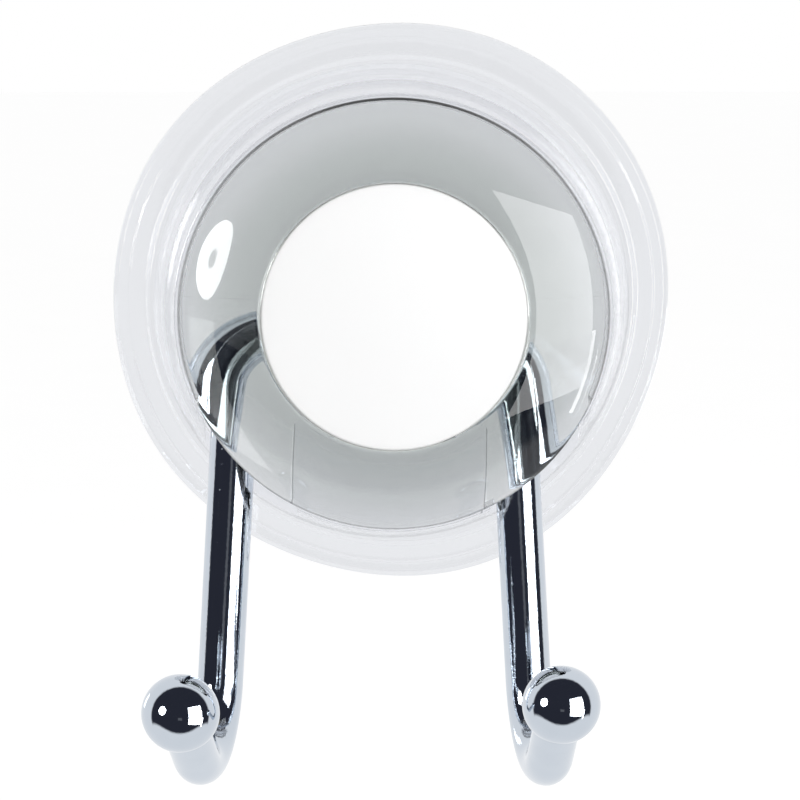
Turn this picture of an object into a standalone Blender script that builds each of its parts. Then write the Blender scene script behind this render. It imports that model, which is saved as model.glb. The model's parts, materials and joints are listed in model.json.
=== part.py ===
"""Double suction hook: two chrome-plated wire hooks on a clear suction cup that a clear dome locks.

Metres, +Z up. The wall is the plane Y = 0, the front faces -Y and the cup's axis runs through the origin.
Pieces are drawn in the frame of their axis empty: X to the right, Y up, Z the depth in front of the wall.
"""

import math

import bmesh
import bpy
from mathutils import Matrix, Vector

# Clearances
GAP = 0.0003                 # between pieces that touch or are moulded together
PULL_TRAVEL = 0.0015         # how far the dome's thread draws the stud forward
PULL_ROOM = 0.0007           # left between the cup's boss and the holder when it is drawn up
ROOM_OVER_RODS = 0.0056      # between the hook rods and the back of the dome
CHANNEL_ROOM = 0.0006        # between a rod and its channel, beside the bracket's shift

# Suction cup: soft clear vinyl
CUP_THICKNESS = 0.0032       # under the holder's foot
FOOT_MARGIN = 0.0006         # thick body outside the holder's foot
SHOULDER_DROP = 0.0009       # step down from the thick body to the lip
SHOULDER_SLOPE = 0.0005      # width of that step
LIP_WIDTH = 0.0048           # from the shoulder to the outer edge
LIP_THICKNESS = 0.0015       # at the outer edge
LIP_ROUNDING = 0.0006
LAND_WIDTH = 0.0036          # flat ring that seals on the wall
HOLLOW_DEPTH = 0.0016        # depth of the suction hollow on the axis
BOSS_WALL = 0.0034           # vinyl round the stud's head
BOSS_FLARE = 0.0013          # width of the boss's sloping side
BOSS_ROUNDING = 0.0007
HEAD_FLOOR = 0.0011          # vinyl behind the stud's head
HEAD_COVER = 0.0010          # vinyl in front of the stud's head

# Stud moulded into the cup, and its clip: steel
STUD_RADIUS = 0.0030
STUD_CHAMFER = 0.0003
STUD_TIP = 0.0004            # stud in front of the clip's groove
HEAD_FLANGE = 0.0035         # how far the head stands out round the stud
HEAD_THICKNESS = 0.0014
GROOVE_DEPTH = 0.0006
CLIP_WIDTH = 0.0023          # from the clip's inside to its outside
CLIP_THICKNESS = 0.0006
CLIP_OPENING = 80.0          # degrees

# Holder: clear rigid plastic, a flared wall and a web with a seat for the eye plate
HOLDER_MARGIN = 0.0003       # how far the holder's top stands out round the dome
FOOT_FLARE = 0.0032          # how much wider the foot is than the top
HOLDER_WALL = 0.0019
HOLDER_ROUNDING = 0.0004
WEB_THICKNESS = 0.0020
TONGUE_INNER_RADIUS = 0.0179
TONGUE_CORNER = 0.0012
TONGUE_SETBACK = 0.0002      # between the tongue's sides and the ends of the wall
TONGUE_DROP = 0.0003         # between the tongue's top and the wall's top
CHANNEL_RECESS = 0.0002      # how far a channel is let into the web

# Bracket: two plated steel rods joined to an eye plate round the stud
ROD_RADIUS = 0.0030
ROD_SPACING = 0.0371         # between the stems' centres, at the stem level
STEM_LEVEL = -0.0180
STEM_SPLAY = 3.15            # degrees that each stem leans outwards
BRACKET_SHIFT = -0.0024      # the bracket lies to the left in its channels
CROSSBAR_DROP = 0.0028       # the rods meet the plate this far below the axis
CROSSBAR_LENGTH = 0.0018     # straight length from the plate to the bend
SHOULDER_BEND = 0.0065       # centreline radius of the bend from crossbar to stem
PLATE_RIM = 0.0038           # metal above and below the plate's slot
PLATE_CORNER = 0.0015
PLATE_THICKNESS = 0.0030
HOOK_BEND = 0.0095           # centreline radius of the J
LIP_LENGTH = 0.0135          # straight lip, from the J's bend to the ball's centre
LEFT_LOW = -0.0584           # height of the left J's lowest centreline point
RIGHT_LOW = -0.0586
LEFT_RISE = 32.8             # degrees that the left lip rises above level
RIGHT_RISE = 37.2
LEFT_TURN = 10.4             # degrees that the left J is turned outwards
RIGHT_TURN = 7.0
BALL_OVERHANG = 0.0020       # how far a ball stands out round its rod
SOCKET_DEPTH = 0.0035        # how far the rod's end reaches into the ball
WASHER_THICKNESS = 0.0008

# Lock dome, its threaded insert and the cap at its centre
CAP_RADIUS = 0.0172
CAP_THICKNESS = 0.0011
CAP_CROWN = 0.0008           # rise of the cap's face from its edge to its centre
CAP_ROUNDING = 0.0004
CAP_SKIRT = 0.0012           # thickness of the cap's skirt
RIM_STEP = 0.0004            # how far the dome's inner rim stands in front of the cap's edge
RIM_ROUNDING = 0.0007
DOME_BAND = 0.0106           # from the cap's bore to the dome's outer edge
DOME_BULGE = 0.00075         # how far the band's section stands out from its chord
DOME_EDGE_HEIGHT = 0.0015    # from the dome's back to the outer corner
DOME_EDGE_ROUNDING = 0.0012
DOME_CHAMFER = 0.0002
FLOOR_THICKNESS = 0.0018
INSERT_WALL = 0.0012         # brass between the insert's hole and its flats
INSERT_BOSS_WALL = 0.0012    # acrylic round the insert's corners, behind the floor

# Facets
STEPS_LARGE = 60
STEPS_MEDIUM = 48
STEPS_SMALL = 24
CORNER_STEPS = 3
BAND_STEPS = 10
BEND_STEPS = 8
HOOK_STEPS = 14
ROD_BEVEL = 4
BALL_RINGS = 12
WELD = 0.000001
SHARP_ANGLE = math.radians(35)

# Depths in front of the wall, each from the piece behind it
cavity_back = HOLLOW_DEPTH + HEAD_FLOOR
head_back = cavity_back + GAP
head_front = head_back + HEAD_THICKNESS
cavity_front = head_front + GAP
boss_front = cavity_front + HEAD_COVER
foot_back = CUP_THICKNESS + GAP
web_back = boss_front + PULL_TRAVEL + PULL_ROOM
web_front = web_back + WEB_THICKNESS
rod_depth = web_front + GAP + ROD_RADIUS
plate_back = rod_depth - PLATE_THICKNESS / 2
plate_front = rod_depth + PLATE_THICKNESS / 2
seat_front = plate_back - GAP
washer_back = plate_front + GAP
washer_front = washer_back + WASHER_THICKNESS
dome_back = max(rod_depth + ROD_RADIUS + ROOM_OVER_RODS, washer_front + GAP)
holder_front = dome_back - GAP
insert_back = washer_front + GAP
insert_boss_back = max(insert_back, rod_depth + ROD_RADIUS + GAP)
floor_front = dome_back + FLOOR_THICKNESS
clip_back = floor_front + GAP
clip_front = clip_back + CLIP_THICKNESS
stud_end = clip_front + GAP + STUD_TIP
cap_inside = stud_end + PULL_TRAVEL + GAP
cap_front = cap_inside + CAP_THICKNESS
cap_edge = cap_front - CAP_CROWN
dome_rim = cap_edge + RIM_STEP

# Radii, each from the piece inside it
stud_hole = STUD_RADIUS + GAP
groove_radius = STUD_RADIUS - GROOVE_DEPTH
head_radius = STUD_RADIUS + HEAD_FLANGE
cavity_radius = head_radius + GAP
boss_radius = cavity_radius + BOSS_WALL
ball_radius = ROD_RADIUS + BALL_OVERHANG
insert_hole = stud_hole + INSERT_WALL + GAP
insert_boss = insert_hole / math.cos(math.pi / 6) + INSERT_BOSS_WALL
bore_radius = CAP_RADIUS + GAP
dome_radius = bore_radius + DOME_BAND
holder_top = dome_radius + HOLDER_MARGIN
foot_radius = holder_top + FOOT_FLARE
shoulder_radius = foot_radius + FOOT_MARGIN
cup_radius = shoulder_radius + LIP_WIDTH

# The bend from crossbar to stem, outwards from the bracket's centre, and the plate inside the crossbars
splay = math.radians(STEM_SPLAY)
bend_y = -CROSSBAR_DROP - SHOULDER_BEND
stem_top_y = bend_y + SHOULDER_BEND * math.sin(splay)
stem_top_x = ROD_SPACING / 2 + (STEM_LEVEL - stem_top_y) * math.tan(splay)
bend_x = stem_top_x - SHOULDER_BEND * math.cos(splay)
plate_half_width = bend_x - CROSSBAR_LENGTH - GAP
plate_half_height = stud_hole + PLATE_RIM
seat_radius = plate_half_width - abs(BRACKET_SHIFT)

# A channel spans the rod, its shift to one side and its room
channel_half = ROD_RADIUS + abs(BRACKET_SHIFT) + CHANNEL_ROOM
channel_inner = ROD_SPACING / 2 - channel_half
channel_outer = ROD_SPACING / 2 + channel_half
channel_top = ROD_RADIUS + CHANNEL_ROOM - CROSSBAR_DROP


def new_collection(name):
    collection = bpy.data.collections.new(name)
    bpy.context.scene.collection.children.link(collection)
    return collection


def new_material(name, colour, roughness, metallic=0.0, alpha=1.0):
    material = bpy.data.materials.new(name)
    material.use_nodes = True
    shader = material.node_tree.nodes["Principled BSDF"]
    shader.inputs["Base Color"].default_value = (*colour, 1.0)
    shader.inputs["Roughness"].default_value = roughness
    shader.inputs["Metallic"].default_value = metallic
    shader.inputs["Alpha"].default_value = alpha
    return material


def new_axis(name):
    """An empty on the cup's axis whose Z points out of the wall, towards the front."""
    axis = bpy.data.objects.new(name, None)
    axis.rotation_euler = (math.pi / 2, 0, 0)
    parts.objects.link(axis)
    return axis


def add_object(name, data, parent, material=None):
    """Adds a piece, or a tool for the Booleans where no material is given."""
    obj = bpy.data.objects.new(name, data)
    obj.parent = parent
    if material:
        data.materials.append(material)
        parts.objects.link(obj)
    else:
        tools.objects.link(obj)
        obj.hide_render = True
        obj.display_type = "WIRE"
    return obj


def as_mesh(obj):
    """Replaces a curve, or a mesh with modifiers, by the plain mesh that it makes."""
    bpy.context.view_layer.update()
    mesh = bpy.data.meshes.new_from_object(obj.evaluated_get(bpy.context.evaluated_depsgraph_get()))
    welded = bmesh.new()
    welded.from_mesh(mesh)
    bmesh.ops.remove_doubles(welded, verts=welded.verts, dist=WELD)
    welded.to_mesh(mesh)
    welded.free()
    mesh.shade_smooth()
    mesh.set_sharp_from_angle(angle=SHARP_ANGLE)
    plain = bpy.data.objects.new(obj.name, mesh)
    plain.parent = obj.parent
    plain.location = obj.location
    plain.hide_render = obj.hide_render
    plain.display_type = obj.display_type
    obj.users_collection[0].objects.link(plain)
    name = obj.name
    bpy.data.objects.remove(obj)
    plain.name = name
    return plain


def combine(obj, operation, tool):
    modifier = obj.modifiers.new(tool.name, "BOOLEAN")
    modifier.operation = operation
    modifier.object = tool


def arc(middle, start, end, steps):
    """Points from start to end round the middle, the short way."""
    arm = start - middle
    turn = -arm.angle_signed(end - middle)
    return [middle + Matrix.Rotation(turn * k / steps, 2) @ arm for k in range(steps + 1)]


def bulged(start, end, bulge, steps):
    """Points of an arc from start to end that stands out to the left of its chord."""
    chord = end - start
    radius = (chord.length_squared / 4 + bulge ** 2) / (2 * bulge)
    left = Vector((-chord.y, chord.x)).normalized()
    return arc((start + end) / 2 + left * (bulge - radius), start, end, steps)


def rounded(corners):
    """The points of an outline whose corners are (x, y) or, where they are rounded, (x, y, radius)."""
    points = []
    for i, (x, y, *radius) in enumerate(corners):
        corner = Vector((x, y))
        if not radius:
            points.append(corner)
            continue
        last = Vector(corners[i - 1][:2]) - corner
        following = Vector(corners[(i + 1) % len(corners)][:2]) - corner
        half = last.angle(following) / 2
        reach = min(radius[0] / math.tan(half), last.length / 2.2, following.length / 2.2)
        middle = corner + (last.normalized() + following.normalized()).normalized() * reach / math.cos(half)
        start = corner + last.normalized() * reach
        end = corner + following.normalized() * reach
        points += arc(middle, start, end, CORNER_STEPS)
    return points


def circle(radius, steps):
    return [(radius * math.cos(2 * math.pi * k / steps), radius * math.sin(2 * math.pi * k / steps))
            for k in range(steps)]


def slot(radius, half_length, steps):
    """A slot along X with round ends, whose centres lie at plus and minus the half length."""
    return [(side * (half_length + radius * math.cos(angle)), side * radius * math.sin(angle))
            for side in (1, -1)
            for angle in (math.pi * k / steps - math.pi / 2 for k in range(steps + 1))]


def bowl(radius, depth, steps=5):
    """Distance from the axis and height of a shallow bowl's section, from its edge to its centre."""
    return [(radius * k / steps, depth * (1 - (k / steps) ** 2)) for k in range(steps, -1, -1)]


def turned(name, corners, parent, material=None, steps=STEPS_LARGE, closed=False):
    """A turned piece. Its section goes clockwise, from the axis or in a closed ring."""
    points = rounded(corners)
    edges = [(k, k + 1) for k in range(len(points) - 1)]
    if closed:
        edges.append((len(points) - 1, 0))
    section = bpy.data.meshes.new(name)
    section.from_pydata([(point.x, 0, point.y) for point in points], edges, [])
    obj = add_object(name, section, parent, material)
    screw = obj.modifiers.new("turning", "SCREW")
    screw.steps = steps
    screw.render_steps = steps
    screw.use_merge_vertices = True
    screw.merge_threshold = WELD
    return as_mesh(obj)


def flat(name, outlines, back, front, parent, material=None):
    """A flat piece from back to front. The first outline is its edge and the others are holes."""
    curve = bpy.data.curves.new(name, "CURVE")
    curve.dimensions = "2D"
    curve.fill_mode = "BOTH"
    curve.extrude = (front - back) / 2
    for outline in outlines:
        spline = curve.splines.new("POLY")
        spline.points.add(len(outline) - 1)
        for point, (x, y) in zip(spline.points, outline):
            point.co = (x, y, 0, 1)
        spline.use_cyclic_u = True
    obj = add_object(name, curve, parent, material)
    obj.location.z = (back + front) / 2
    return as_mesh(obj)


def box(name, low, high, parent):
    """A box between two corners, to cut with."""
    mesh = bpy.data.meshes.new(name)
    cube = bmesh.new()
    bmesh.ops.create_cube(cube, size=1)
    bmesh.ops.scale(cube, verts=cube.verts, vec=Vector(high) - Vector(low))
    bmesh.ops.translate(cube, verts=cube.verts, vec=(Vector(high) + Vector(low)) / 2)
    cube.to_mesh(mesh)
    cube.free()
    return add_object(name, mesh, parent)


def suction_cup():
    """A round cup whose boss encloses the stud's head, so that the stud can pull its centre."""
    lip_top = CUP_THICKNESS - SHOULDER_DROP
    corners = [
        (0, cavity_back),
        (cavity_radius, cavity_back),
        (cavity_radius, cavity_front),
        (stud_hole, cavity_front),
        (stud_hole, boss_front),
        (boss_radius, boss_front, BOSS_ROUNDING),
        (boss_radius + BOSS_FLARE, CUP_THICKNESS, BOSS_ROUNDING),
        (shoulder_radius, CUP_THICKNESS, HOLDER_ROUNDING),
        (shoulder_radius + SHOULDER_SLOPE, lip_top, HOLDER_ROUNDING),
        (cup_radius, LIP_THICKNESS, LIP_ROUNDING),
        (cup_radius, 0),
    ]
    turned("suction_cup", corners + bowl(cup_radius - LAND_WIDTH, HOLLOW_DEPTH), cup_axis, vinyl)


def anchor_stud():
    corners = [
        (0, stud_end),
        (STUD_RADIUS - STUD_CHAMFER, stud_end),
        (STUD_RADIUS, stud_end - STUD_CHAMFER),
        (STUD_RADIUS, clip_front + GAP),
        (groove_radius, clip_front + GAP),
        (groove_radius, clip_back - GAP),
        (STUD_RADIUS, clip_back - GAP),
        (STUD_RADIUS, head_front),
        (head_radius, head_front),
        (head_radius, head_back),
        (0, head_back),
    ]
    turned("anchor_stud", corners, stud_axis, zinc, STEPS_SMALL)


def stud_clip():
    """A spring ring, open at the top, in the stud's groove. It keeps the dome on the stud."""
    inside = groove_radius + GAP
    opening = math.radians(CLIP_OPENING)
    start = math.pi / 2 + opening / 2
    angles = [start + (2 * math.pi - opening) * k / STEPS_SMALL for k in range(STEPS_SMALL + 1)]
    edge = [(inside + CLIP_WIDTH, angle) for angle in angles]
    edge += [(inside, angle) for angle in reversed(angles)]
    outline = [(radius * math.cos(angle), radius * math.sin(angle)) for radius, angle in edge]
    flat("stud_clip", [outline], clip_back, clip_front, stud_axis, zinc)


def bracket_holder():
    """A flared ring on a foot that presses on the cup, with two channels that let the rods out."""
    def wall_radius(depth):
        return foot_radius - FOOT_FLARE * (depth - foot_back) / (holder_front - foot_back)

    holder = turned("bracket_holder", [
        (stud_hole, seat_front),
        (seat_radius, seat_front),
        (seat_radius, web_front),
        (wall_radius(web_front) - HOLDER_WALL, web_front),
        (wall_radius(holder_front) - HOLDER_WALL, holder_front, HOLDER_ROUNDING),
        (wall_radius(holder_front), holder_front, HOLDER_ROUNDING),
        (foot_radius, foot_back, HOLDER_ROUNDING),
        (foot_radius - HOLDER_WALL, foot_back, HOLDER_ROUNDING),
        (wall_radius(web_back) - HOLDER_WALL, web_back),
        (stud_hole, web_back),
    ], bracket_axis, clear_plastic, closed=True)

    channel_floor = web_front - CHANNEL_RECESS
    for name, inner, outer in (("left_channel", -channel_outer, -channel_inner),
                               ("right_channel", channel_inner, channel_outer)):
        low = (inner, -foot_radius, channel_floor)
        high = (outer, channel_top, dome_back)
        combine(holder, "DIFFERENCE", box(name, low, high, bracket_axis))

    # The tongue between the channels, cut to its outline from a cone inside the wall
    low = web_front - WEB_THICKNESS / 2
    top = holder_front - TONGUE_DROP
    tongue = turned("tongue", [
        (0, top),
        (wall_radius(top) - HOLDER_WALL / 2, top),
        (wall_radius(low) - HOLDER_WALL / 2, low),
        (0, low),
    ], bracket_axis)
    half = channel_inner - TONGUE_SETBACK
    shoulder = -math.sqrt(TONGUE_INNER_RADIUS ** 2 - half ** 2)
    inner_edge = arc(Vector((0, 0)), Vector((half, shoulder)), Vector((-half, shoulder)), 2 * CORNER_STEPS)
    outline = rounded([
        (-half, -foot_radius),
        (half, -foot_radius),
        (half, shoulder, TONGUE_CORNER),
        *[tuple(point) for point in inner_edge[1:-1]],
        (-half, shoulder, TONGUE_CORNER),
    ])
    combine(tongue, "INTERSECT", flat("tongue_outline", [outline], 0, dome_back, bracket_axis))
    combine(holder, "UNION", tongue)


def eye_plate():
    """A plate whose flat sides meet the rods. Its slot lets the bracket shift on the stud."""
    corners = ((1, 1), (1, -1), (-1, -1), (-1, 1))
    edge = rounded([(plate_half_width * x, plate_half_height * y, PLATE_CORNER) for x, y in corners])
    hole = slot(stud_hole, abs(BRACKET_SHIFT), STEPS_SMALL // 2)
    plate = flat("eye_plate", [edge, hole], plate_back, plate_front, bracket_axis, chrome)
    plate.location.x = BRACKET_SHIFT


def hook_path(side, low, rise, turn):
    """The centreline of a rod from the eye plate to its ball, and the direction of its lip.

    It is worked out with X pointing outwards from the bracket's centre, and then turned to its side.
    """
    turn = math.radians(turn)
    lip_angle = math.radians(90 + rise)
    down = Vector((math.sin(splay), -math.cos(splay), 0))
    outward = Vector((math.cos(splay), math.sin(splay), 0))
    forward = math.sin(turn) * outward + math.cos(turn) * Vector((0, 0, 1))

    path = [Vector((plate_half_width + GAP, -CROSSBAR_DROP, 0))]
    for k in range(BEND_STEPS + 1):
        angle = math.pi / 2 - (math.pi / 2 - splay) * k / BEND_STEPS
        arm = SHOULDER_BEND * Vector((math.cos(angle), math.sin(angle), 0))
        path.append(Vector((bend_x, bend_y, 0)) + arm)

    # The J, in the plane of the stem and the forward direction, and the straight lip
    stem_length = (stem_top_y - low) / math.cos(splay) - HOOK_BEND
    stem_end = Vector((stem_top_x, stem_top_y, 0)) + stem_length * down
    for k in range(HOOK_STEPS + 1):
        angle = lip_angle * k / HOOK_STEPS
        path.append(stem_end + HOOK_BEND * ((1 - math.cos(angle)) * forward + math.sin(angle) * down))
    lip = math.sin(lip_angle) * forward + math.cos(lip_angle) * down
    ball_centre = path[-1] + LIP_LENGTH * lip
    path.append(ball_centre - (ball_radius - SOCKET_DEPTH) * lip)
    mirrored = Matrix.Diagonal((side, 1, 1))
    placed = Vector((BRACKET_SHIFT, 0, rod_depth))
    return [placed + mirrored @ point for point in path], placed + mirrored @ ball_centre, mirrored @ lip


def hook_rod(name, path):
    curve = bpy.data.curves.new(name, "CURVE")
    curve.dimensions = "3D"
    curve.bevel_depth = ROD_RADIUS
    curve.bevel_resolution = ROD_BEVEL
    curve.use_fill_caps = True
    spline = curve.splines.new("POLY")
    spline.points.add(len(path) - 1)
    for point, place in zip(spline.points, path):
        point.co = (*place, 1)
    add_object(name, curve, bracket_axis, chrome)


def ball_tip(name, centre, lip):
    """A ball with a blind socket for the rod's end. Its Z axis lies along the lip."""
    ball = bmesh.new()
    bmesh.ops.create_uvsphere(ball, u_segments=STEPS_SMALL, v_segments=BALL_RINGS, radius=ball_radius)
    ball_mesh = bpy.data.meshes.new(name)
    ball.to_mesh(ball_mesh)
    ball.free()
    ball_mesh.shade_smooth()
    tip = add_object(name, ball_mesh, bracket_axis, chrome)
    tip.location = centre
    tip.rotation_euler = lip.to_track_quat("Z", "Y").to_euler()

    bottom = -(ball_radius - SOCKET_DEPTH) + GAP
    length = 2 * ball_radius
    hole = bmesh.new()
    bmesh.ops.create_cone(hole, cap_ends=True, segments=STEPS_SMALL, depth=length,
                          radius1=ROD_RADIUS + GAP, radius2=ROD_RADIUS + GAP)
    bmesh.ops.translate(hole, verts=hole.verts, vec=(0, 0, bottom - length / 2))
    hole_mesh = bpy.data.meshes.new(name + "_socket")
    hole.to_mesh(hole_mesh)
    hole.free()
    combine(tip, "DIFFERENCE", add_object(name + "_socket", hole_mesh, tip))


def thrust_washer():
    corners = [
        (stud_hole, washer_front),
        (seat_radius, washer_front),
        (seat_radius, washer_back),
        (stud_hole, washer_back),
    ]
    turned("thrust_washer", corners, bracket_axis, nylon, STEPS_MEDIUM, closed=True)


def hexagon(inner_radius):
    """A hexagon by the radius of the circle inside it."""
    return circle(inner_radius / math.cos(math.pi / 6), 6)


def threaded_insert():
    """The hexagonal insert that runs on the stud's thread, moulded into the dome's floor and boss."""
    outlines = [hexagon(stud_hole + INSERT_WALL), circle(stud_hole, STEPS_SMALL)]
    flat("threaded_insert", outlines, insert_back, floor_front, dome_axis, brass)


def lock_dome():
    """The convex ring that the user turns. Its floor and boss hold the insert and its bore holds the cap."""
    rim = Vector((bore_radius, dome_rim))
    outer_corner = Vector((dome_radius, dome_back + DOME_EDGE_HEIGHT))
    band = bulged(rim, outer_corner, DOME_BULGE, BAND_STEPS)
    dome = turned("lock_dome", [
        (0, floor_front),
        (bore_radius, floor_front),
        (bore_radius, dome_rim, RIM_ROUNDING),
        *[tuple(point) for point in band[1:-1]],
        (*outer_corner, DOME_EDGE_ROUNDING),
        (dome_radius, dome_back, DOME_CHAMFER),
        (insert_boss, dome_back),
        (insert_boss, insert_boss_back),
        (0, insert_boss_back),
    ], dome_axis, acrylic)
    hole = flat("insert_hole", [hexagon(insert_hole)], web_front, dome_rim, dome_axis)
    combine(dome, "DIFFERENCE", hole)


def centre_cap():
    """A slightly crowned white disc that snaps into the dome's bore by its skirt."""
    skirt_inside = CAP_RADIUS - CAP_SKIRT
    face = [(radius, cap_edge + height) for radius, height in reversed(bowl(CAP_RADIUS, CAP_CROWN))]
    inside = [(radius, cap_inside - CAP_CROWN + height) for radius, height in bowl(skirt_inside, CAP_CROWN)]
    turned("centre_cap", [
        *face[:-1],
        (CAP_RADIUS, cap_edge, CAP_ROUNDING),
        (CAP_RADIUS, floor_front + GAP),
        (skirt_inside, floor_front + GAP),
        *inside,
    ], dome_axis, white_plastic, STEPS_MEDIUM)


for old_object in list(bpy.data.objects):
    bpy.data.objects.remove(old_object)

parts = new_collection("double_suction_hook")
tools = new_collection("cutters")

vinyl = new_material("clear_vinyl", (0.80, 0.84, 0.90), 0.15, alpha=0.35)
clear_plastic = new_material("clear_plastic", (0.82, 0.86, 0.90), 0.08, alpha=0.35)
acrylic = new_material("clear_acrylic", (0.50, 0.53, 0.53), 0.03, alpha=0.45)
white_plastic = new_material("white_plastic", (0.90, 0.90, 0.90), 0.25)
nylon = new_material("white_nylon", (0.80, 0.80, 0.78), 0.45)
chrome = new_material("chrome_plate", (0.75, 0.77, 0.80), 0.05, metallic=1.0)
zinc = new_material("zinc_plated_steel", (0.60, 0.61, 0.63), 0.30, metallic=1.0)
brass = new_material("brass", (0.70, 0.52, 0.24), 0.28, metallic=1.0)

cup_axis = new_axis("cup_axis")
stud_axis = new_axis("stud_axis")
bracket_axis = new_axis("bracket_axis")
dome_axis = new_axis("dome_axis")

suction_cup()
anchor_stud()
stud_clip()
bracket_holder()
eye_plate()
for side_name, hook in (("left", (-1, LEFT_LOW, LEFT_RISE, LEFT_TURN)),
                        ("right", (1, RIGHT_LOW, RIGHT_RISE, RIGHT_TURN))):
    rod_path, ball_place, lip_direction = hook_path(*hook)
    hook_rod(side_name + "_hook_rod", rod_path)
    ball_tip(side_name + "_ball_tip", ball_place, lip_direction)
thrust_washer()
threaded_insert()
lock_dome()
centre_cap()
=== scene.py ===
"""Double suction hook: its finishes, its fine shapes and the studio that it is photographed in.

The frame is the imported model's: metres, +Z up, the wall is the plane Y = 0 and the front faces -Y.
Sizes below are in millimetres. A section is drawn as (radius, depth), the depth being the distance
from the wall.
"""

import json
import math

import bmesh
import bpy
from mathutils import Matrix, Vector

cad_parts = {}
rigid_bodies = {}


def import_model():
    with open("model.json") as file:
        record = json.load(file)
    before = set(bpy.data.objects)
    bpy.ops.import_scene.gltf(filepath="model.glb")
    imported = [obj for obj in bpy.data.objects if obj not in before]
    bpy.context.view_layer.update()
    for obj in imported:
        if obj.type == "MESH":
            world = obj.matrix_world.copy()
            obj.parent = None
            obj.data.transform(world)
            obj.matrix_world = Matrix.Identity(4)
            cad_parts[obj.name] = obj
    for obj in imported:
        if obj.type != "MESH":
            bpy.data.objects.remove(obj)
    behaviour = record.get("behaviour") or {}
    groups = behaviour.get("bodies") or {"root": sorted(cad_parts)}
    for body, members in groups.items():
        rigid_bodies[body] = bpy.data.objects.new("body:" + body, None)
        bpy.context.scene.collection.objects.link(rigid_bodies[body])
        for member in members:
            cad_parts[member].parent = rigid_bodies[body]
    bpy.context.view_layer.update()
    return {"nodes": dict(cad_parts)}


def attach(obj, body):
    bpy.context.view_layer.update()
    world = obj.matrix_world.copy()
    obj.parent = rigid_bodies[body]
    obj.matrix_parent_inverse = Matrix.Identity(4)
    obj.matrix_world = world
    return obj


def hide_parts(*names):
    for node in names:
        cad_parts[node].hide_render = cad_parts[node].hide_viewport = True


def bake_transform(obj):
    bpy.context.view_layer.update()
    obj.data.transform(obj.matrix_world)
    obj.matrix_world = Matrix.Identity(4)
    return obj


# Blender's own start objects make room for the frame
for leftover in list(bpy.data.objects):
    bpy.data.objects.remove(leftover)
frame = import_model()


# Suction cup: soft clear vinyl, moulded in one piece round the stud's head. Its thin lip lies on the
# wall and is a little out of round. The moulding leaves a soft, wavy skin.
MM = 0.001
SHARP = math.radians(32)      # faces that meet at more than this keep a sharp edge
MERGE = 0.0005                # vertices closer than this are one
BOW_STEPS = 24


class Socket:
    """An output in a node tree. Arithmetic on it adds Math nodes to its tree."""

    def __init__(self, tree, socket=None):
        self.tree = tree
        self.socket = socket

    def node(self, kind, settings, inputs, output=0):
        """Adds a node, sets its settings, then the values or links of its inputs, and returns an output."""
        made = self.tree.nodes.new(kind)
        for name, value in settings.items():
            setattr(made, name, value)
        for name, value in inputs.items():
            if isinstance(value, Socket):
                self.tree.links.new(value.socket, made.inputs[name])
            else:
                made.inputs[name].default_value = value
        return Socket(self.tree, made.outputs[output] if made.outputs else None)

    def math(self, operation, *others):
        """A Math node on this value and the others."""
        return self.node("ShaderNodeMath", {"operation": operation}, dict(enumerate((self, *others))))

    def __add__(self, other):
        return self.math("ADD", other)

    def __radd__(self, other):
        return self.math("ADD", other)

    def __sub__(self, other):
        return self.math("SUBTRACT", other)

    def __rsub__(self, other):
        return self.node("ShaderNodeMath", {"operation": "SUBTRACT"}, {0: other, 1: self})

    def __mul__(self, other):
        return self.math("MULTIPLY", other)

    def __rmul__(self, other):
        return self.math("MULTIPLY", other)

    def __truediv__(self, other):
        return self.math("DIVIDE", other)

    def parts(self):
        """The X, Y and Z of this vector."""
        split = self.node("ShaderNodeSeparateXYZ", {}, {0: self})
        return [Socket(self.tree, part) for part in split.socket.node.outputs]

    def ramp(self, low, high):
        """0 where this is below low, 1 where it is above high, and smooth between them."""
        return self.node("ShaderNodeMapRange", {"interpolation_type": "SMOOTHSTEP"},
                         {"Value": self, "From Min": low, "From Max": high})

    def between(self, first, second):
        """The first colour where this is 0 and the second where it is 1. A colour is a triple or a Socket."""
        colours = [colour if isinstance(colour, Socket) else (*colour, 1.0) for colour in (first, second)]
        return self.node("ShaderNodeMix", {"data_type": "RGBA"}, {0: self, 6: colours[0], 7: colours[1]}, 2)

    def noise(self, size, detail=2.0):
        """Noise at this place, whose cells are about this size in millimetres."""
        return self.node("ShaderNodeTexNoise", {}, {
            "Vector": self, "Scale": 1 / (size * MM), "Detail": detail})

    def bump(self, height, strength):
        """A normal from a height between 0 and 1 that stands for this many millimetres."""
        return self.node("ShaderNodeBump", {}, {"Height": height, "Strength": 1.0, "Distance": strength * MM})


def new_finish(name):
    """A material without nodes, and the place on its surface as a Socket."""
    material = bpy.data.materials.new(name)
    material.use_nodes = True
    material.node_tree.nodes.clear()
    start = Socket(material.node_tree)
    return material, start.node("ShaderNodeTexCoord", {}, {}, "Object")


def surface(place, inputs, absorption=None):
    """Ends a material in a Principled shader and, for a clear piece, in the volume that tints it."""
    output = {"Surface": place.node("ShaderNodeBsdfPrincipled", {}, inputs)}
    if absorption:
        colour, density = absorption
        output["Volume"] = place.node(
            "ShaderNodeVolumeAbsorption", {}, {"Color": (*colour, 1.0), "Density": density})
    place.node("ShaderNodeOutputMaterial", {}, output)


def arc(middle, start, end, steps):
    """Points from start to end round the middle, the short way."""
    arm = start - middle
    turn = -arm.angle_signed(end - middle)
    return [middle + Matrix.Rotation(turn * k / steps, 2) @ arm for k in range(steps + 1)]


def bow(radius, edge, rise):
    """A shallow curve from the axis to a radius, which starts a rise in front of its edge's depth."""
    shares = [k / BOW_STEPS for k in range(BOW_STEPS + 1)]
    return [(radius * share, edge + rise * (1 - share ** 2)) for share in shares]


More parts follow.
